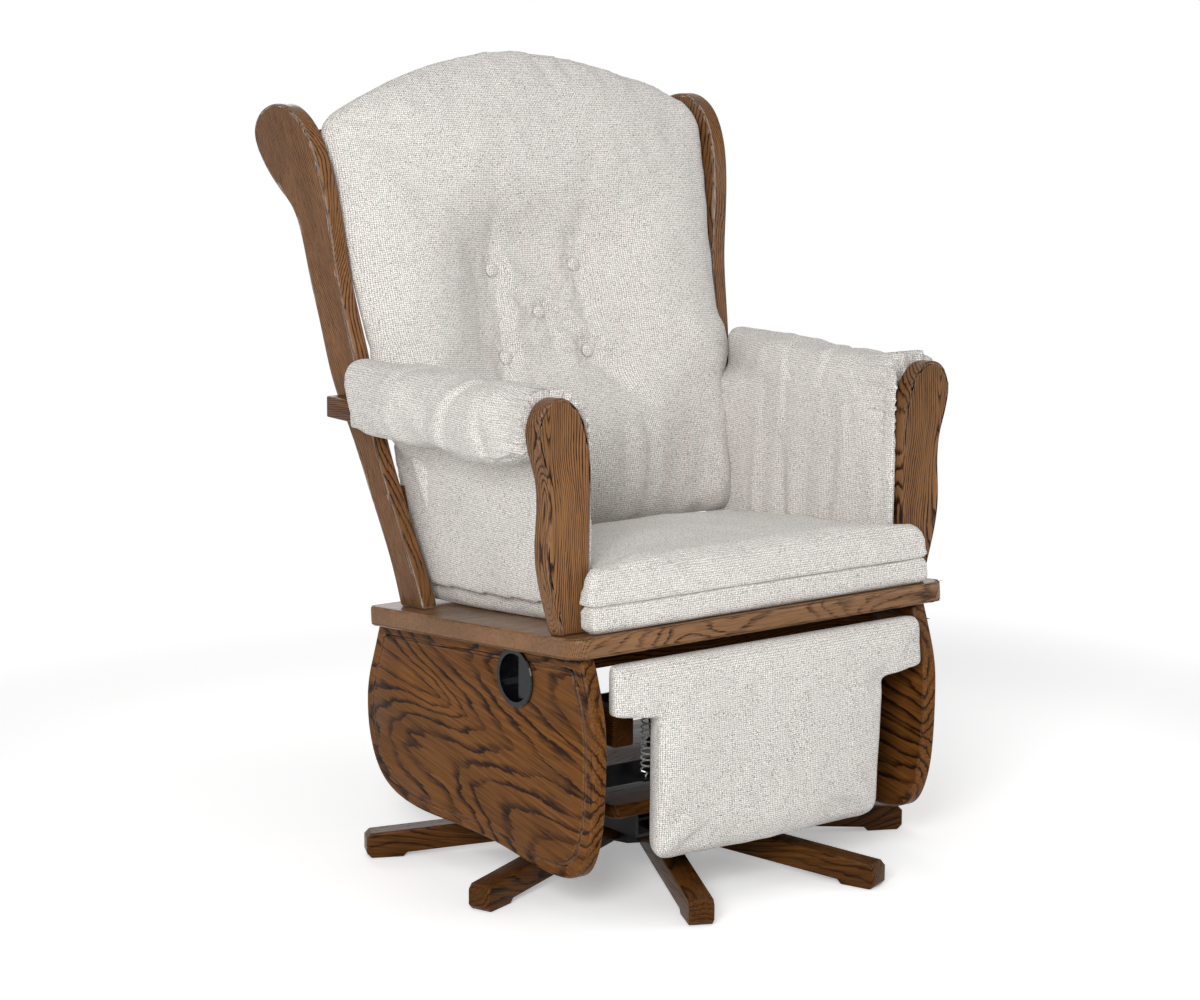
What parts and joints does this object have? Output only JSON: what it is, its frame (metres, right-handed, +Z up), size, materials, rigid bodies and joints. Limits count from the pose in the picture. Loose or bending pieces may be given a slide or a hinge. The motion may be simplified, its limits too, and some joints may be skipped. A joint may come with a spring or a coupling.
{
  "type": "swivel glider recliner",
  "caption": "Oak and fabric nursery chair that swivels, glides, reclines and folds out a footrest.",
  "frame": {"origin": "bottom centre of the chair's box, on the floor", "axes": "+Z up, +X to the sitter's left, the chair faces -Y"},
  "size_m": [0.752, 0.8058, 1.1188],
  "materials": {
    "oak": "stained oak under satin lacquer",
    "fabric": "heathered woven upholstery",
    "black_steel": "black painted steel",
    "zinc": "bright spring wire",
    "black_plastic": "glossy moulded plastic"
  },
  "bodies": {
    "base": {"leg_1": "oak", "leg_2": "oak", "leg_3": "oak", "leg_4": "oak", "leg_5": "oak", "leg_6": "oak", "leg_7": "oak", "leg_8": "oak", "hub_block": "black_steel", "swivel_plate_lower": "black_steel"},
    "turntable": {"swivel_plate_upper": "black_steel", "swivel_frame": "black_steel", "base_board": "oak", "stand_post_front_left": "oak", "stand_post_front_right": "oak", "stand_post_rear_left": "oak", "stand_post_rear_right": "oak", "glide_rail_left": "oak", "glide_rail_right": "oak"},
    "link_front_left": {"glide_link_front_left": "black_steel"},
    "link_front_right": {"glide_link_front_right": "black_steel"},
    "link_rear_left": {"glide_link_rear_left": "black_steel"},
    "link_rear_right": {"glide_link_rear_right": "black_steel"},
    "carriage": {"carriage_plate_left": "black_steel", "carriage_plate_right": "black_steel", "carriage_bar_front": "black_steel", "carriage_bar_rear": "black_steel", "spring_left": "zinc", "spring_right": "zinc"},
    "seat": {"seat_deck": "oak", "deck_rail_front": "oak", "deck_rail_rear": "oak", "recline_bracket_left": "black_steel", "recline_bracket_right": "black_steel", "side_panel_left": "oak", "side_panel_right": "oak", "front_post_left": "oak", "front_post_right": "oak", "back_post_left": "oak", "back_post_right": "oak", "arm_rail_left": "oak", "arm_rail_right": "oak", "crest_rail": "oak", "lower_back_rail": "oak", "back_slat_1": "oak", "back_slat_2": "oak", "back_slat_3": "oak", "release_cup": "black_plastic", "seat_platform": "fabric", "seat_cushion": "fabric", "back_cushion": "fabric", "arm_cushion_left": "fabric", "arm_cushion_right": "fabric", "footrest_mount": "black_steel"},
    "footrest_upper": {"footrest_upper_arms": "black_steel"},
    "footrest_lower": {"footrest_lower_arms": "black_steel"},
    "footrest": {"footrest_board": "black_steel", "footrest_pad": "fabric"},
    "release": {"release_paddle": "black_plastic"}
  },
  "joints": [
    {"name": "swivel", "type": "hinge", "parent": "base", "child": "turntable", "pos_m": [0, -0.02694, 0], "axis": [0, 0, 1], "continuous": true},
    {"name": "glide", "type": "hinge", "parent": "turntable", "child": "link_front_left", "pos_m": [0, -0.17194, 0.236], "axis": [1, 0, 0], "range_deg": [-17.7, 17.7]},
    {"name": "glide_front_right", "type": "hinge", "parent": "turntable", "child": "link_front_right", "pos_m": [0, -0.17194, 0.236], "axis": [1, 0, 0], "range_deg": [-17.7, 17.7]},
    {"name": "glide_rear_left", "type": "hinge", "parent": "turntable", "child": "link_rear_left", "pos_m": [0, 0.03306, 0.236], "axis": [1, 0, 0], "range_deg": [-17.7, 17.7]},
    {"name": "glide_rear_right", "type": "hinge", "parent": "turntable", "child": "link_rear_right", "pos_m": [0, 0.03306, 0.236], "axis": [1, 0, 0], "range_deg": [-17.7, 17.7]},
    {"name": "glide_carriage", "type": "hinge", "parent": "link_front_left", "child": "carriage", "pos_m": [0, -0.17194, 0.121], "axis": [1, 0, 0], "range_deg": [-17.7, 17.7]},
    {"name": "recline", "type": "hinge", "parent": "carriage", "child": "seat", "pos_m": [0, 0.02306, 0.285], "axis": [-1, 0, 0], "range_deg": [0, 13], "deforming": ["spring_left", "spring_right"]},
    {"name": "footrest_fold", "type": "hinge", "parent": "seat", "child": "footrest_upper", "pos_m": [0, -0.17694, 0.33], "axis": [-1, 0, 0], "range_deg": [0, 65]},
    {"name": "footrest_knee", "type": "hinge", "parent": "footrest_upper", "child": "footrest_lower", "pos_m": [0, -0.19694, 0.2], "axis": [-1, 0, 0], "range_deg": [-110.1, 0]},
    {"name": "footrest_pad_pivot", "type": "hinge", "parent": "footrest_lower", "child": "footrest", "pos_m": [0, -0.26694, 0.3], "axis": [-1, 0, 0], "range_deg": [0, 133.1]},
    {"name": "release_pull", "type": "hinge", "parent": "seat", "child": "release", "pos_m": [-0.2958, -0.16994, 0.309], "axis": [0, 0, 1], "range_deg": [0, 30], "stiffness_Nm_per_rad": 0.2}
  ],
  "couplings": [
    {"joint": "glide_front_right", "follows": "glide", "ratio": 1},
    {"joint": "glide_rear_left", "follows": "glide", "ratio": 1},
    {"joint": "glide_rear_right", "follows": "glide", "ratio": 1},
    {"joint": "glide_carriage", "follows": "glide", "ratio": -1},
    {"joint": "footrest_knee", "follows": "footrest_fold", "ratio": -1.6923},
    {"joint": "footrest_pad_pivot", "follows": "footrest_fold", "ratio": 2.0462}
  ]
}
